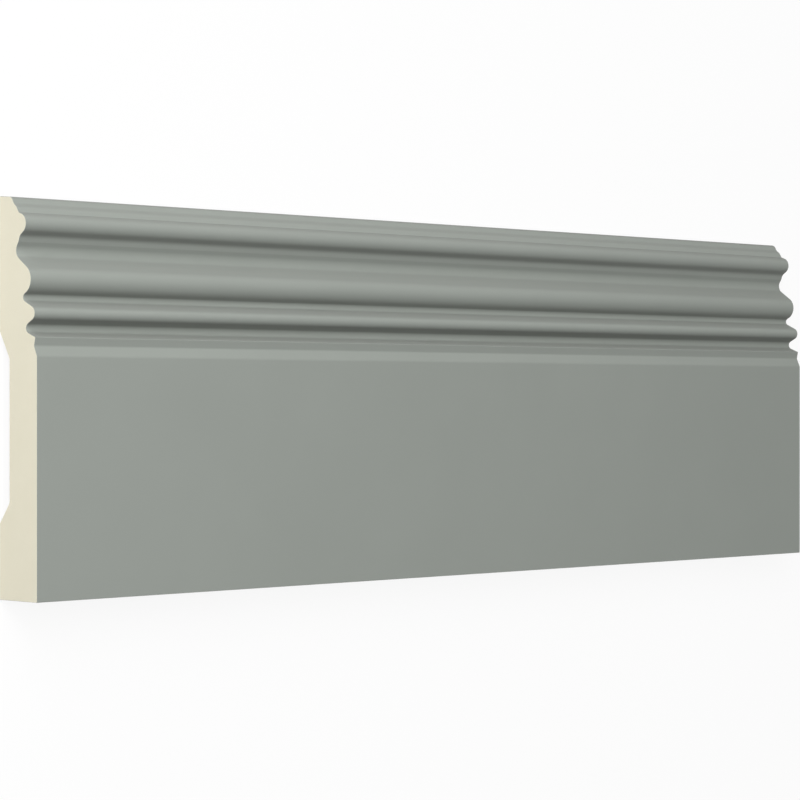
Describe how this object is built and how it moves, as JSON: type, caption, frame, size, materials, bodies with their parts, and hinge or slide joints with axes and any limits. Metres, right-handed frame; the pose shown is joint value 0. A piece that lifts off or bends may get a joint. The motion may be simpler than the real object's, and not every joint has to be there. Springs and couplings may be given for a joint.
{
  "type": "skirting board length",
  "caption": "Short length of moulded skirting board with a tall plain face, a moulded band of beads, grooves and an ogee along the top, square cut ends and a relieved back.",
  "frame": {"origin": "middle of the back, halfway along the length and halfway up the height, in the plane of the back's two lands", "axes": "+X along the length, +Y from the floor edge to the top edge, +Z out of the wall; the board lies on its back"},
  "size_m": [0.617, 0.2, 0.03],
  "materials": {
    "painted_polyurethane": "cream high-density polyurethane foam with a matt grey-green paint film on the face, top edge and floor edge; back and cut ends bare"
  },
  "bodies": {
    "root": {"skirting_board": "painted_polyurethane"}
  },
  "joints": []
}
